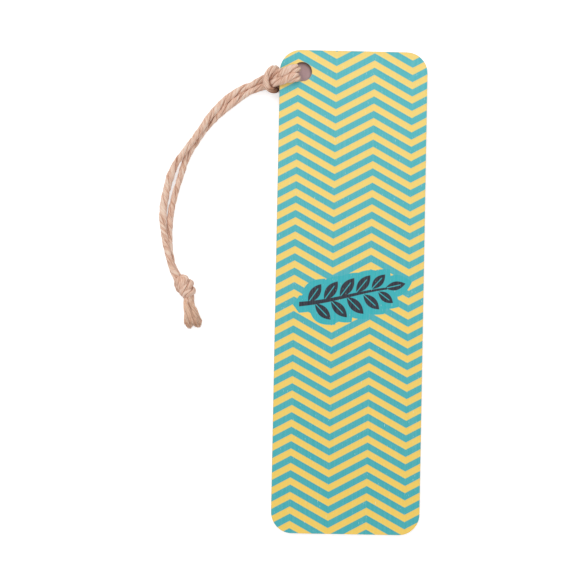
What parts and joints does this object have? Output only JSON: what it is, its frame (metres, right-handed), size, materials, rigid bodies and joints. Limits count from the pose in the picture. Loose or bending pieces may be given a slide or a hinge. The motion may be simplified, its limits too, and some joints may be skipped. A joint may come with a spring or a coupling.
{
  "type": "bookmark",
  "caption": "Flat printed wooden bookmark with rounded corners and a corner hole, holding a doubled jute twine tied in a cow hitch and closed by an overhand knot with frayed ends.",
  "frame": {"origin": "centre of the board, halfway through its thickness", "axes": "+Y along the board to the end with the hole, +Z out of the printed face, +X to the right seen from the front"},
  "size_m": [0.0824, 0.15, 0.007],
  "materials": {
    "printed_face": "teal and yellow chevron print on a fine-grained wood veneer, satin",
    "plywood_core": "laser-cut plywood, edge scorched dark brown",
    "bare_wood": "bare sanded wood veneer",
    "jute_twine": "two-ply natural jute twine, matt and slightly hairy"
  },
  "bodies": {
    "card": {"front_veneer": "printed_face", "core_veneer": "plywood_core", "back_veneer": "bare_wood", "hitch_leg_upper": "jute_twine", "hitch_leg_lower": "jute_twine", "hitch_collar": "jute_twine"},
    "neck": {"neck_upper": "jute_twine", "neck_lower": "jute_twine"},
    "tassel": {"strand_outer": "jute_twine", "strand_inner": "jute_twine", "end_knot": "jute_twine", "tail_left": "jute_twine", "tail_right": "jute_twine"}
  },
  "joints": [
    {"name": "cord_lift", "type": "hinge", "parent": "card", "child": "neck", "pos_m": [-0.0288, 0.0645, -0.0009], "axis": [0, 1, 0], "range_deg": [-120, 90], "deforming": ["neck_upper", "neck_lower"]},
    {"name": "cord_swing", "type": "hinge", "parent": "neck", "child": "tassel", "pos_m": [-0.0313, 0.0638, -0.00135], "axis": [0, 0, 1], "range_deg": [-90, 15], "deforming": ["strand_outer", "strand_inner"]}
  ]
}
